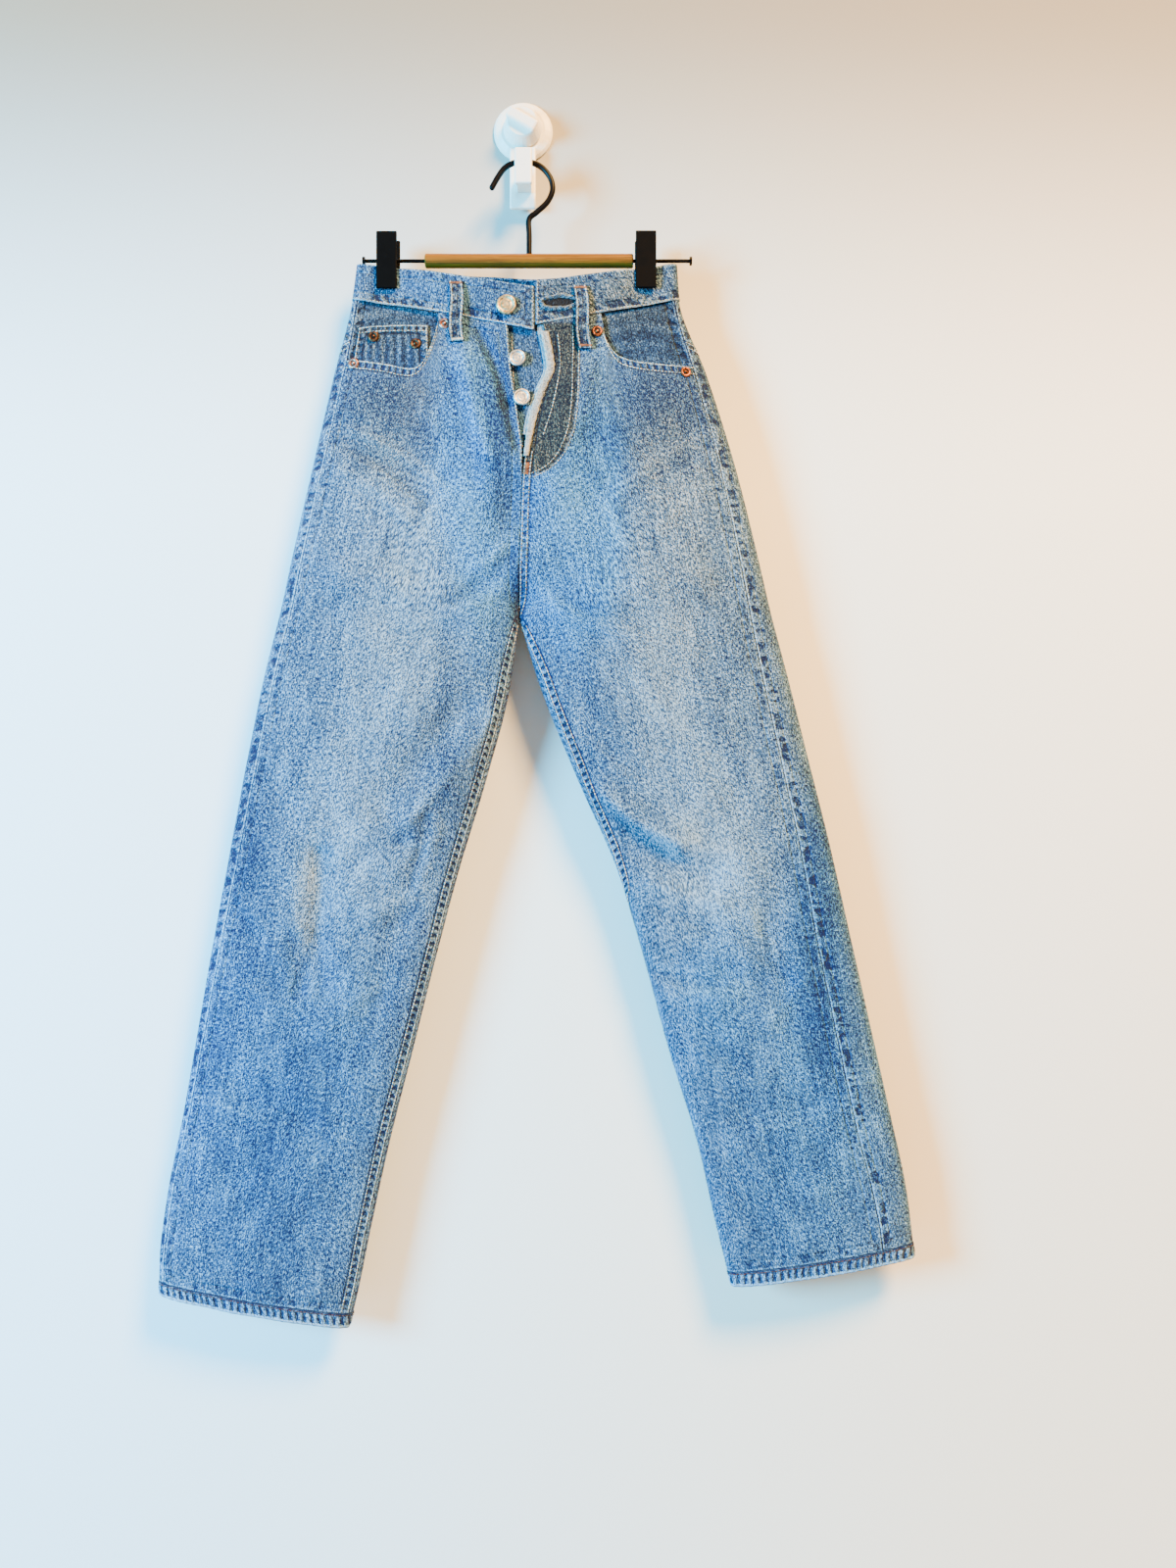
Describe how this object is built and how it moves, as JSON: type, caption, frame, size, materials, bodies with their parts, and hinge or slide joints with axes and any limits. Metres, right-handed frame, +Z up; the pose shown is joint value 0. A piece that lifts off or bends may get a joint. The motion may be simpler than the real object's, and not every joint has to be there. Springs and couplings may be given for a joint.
{
  "type": "jeans on a clip hanger and wall hook",
  "caption": "Wide straight denim jeans clipped by the waistband to a wooden bar hanger, hanging with an open button fly from a suction wall hook.",
  "frame": {"origin": "middle of the wall hook's flat back face, where it meets the wall", "axes": "+Y points into the wall, +Z is up, and the front of the jeans looks along -Y"},
  "size_m": [0.6663, 0.0579, 1.0952],
  "materials": {
    "denim": "washed blue twill",
    "inner_denim": "darker blue twill",
    "button_metal": "worn pale metal",
    "rivet_copper": "worn copper",
    "bar_wood": "satin light brown",
    "black_wire": "satin black",
    "clip_black": "matte black",
    "hook_white": "smooth white"
  },
  "bodies": {
    "root": {"front_right": "denim", "front_left": "denim", "back_right": "denim", "back_left": "denim", "yoke_right": "denim", "yoke_left": "denim", "waistband": "denim", "hem_right": "denim", "hem_left": "denim", "back_pocket_right": "denim", "back_pocket_left": "denim", "belt_loop_1": "denim", "belt_loop_2": "denim", "belt_loop_3": "denim", "belt_loop_4": "denim", "belt_loop_5": "denim", "fly_facing": "denim", "fly_underlap": "inner_denim", "pocket_facing_right": "inner_denim", "pocket_facing_left": "inner_denim", "coin_pocket": "inner_denim", "waistband_button": "button_metal", "fly_button_1": "button_metal", "fly_button_2": "button_metal", "rivet_1": "rivet_copper", "rivet_2": "rivet_copper", "rivet_3": "rivet_copper", "rivet_4": "rivet_copper", "rivet_5": "rivet_copper", "rivet_6": "rivet_copper", "hanger_bar": "bar_wood", "hanger_rod": "black_wire", "hanger_hook": "black_wire", "clip_right_front": "clip_black", "clip_right_back": "clip_black", "clip_left_front": "clip_black", "clip_left_back": "clip_black", "wall_disc": "hook_white", "wall_knob": "hook_white", "wall_lever": "hook_white", "wall_arm": "hook_white"}
  },
  "joints": []
}
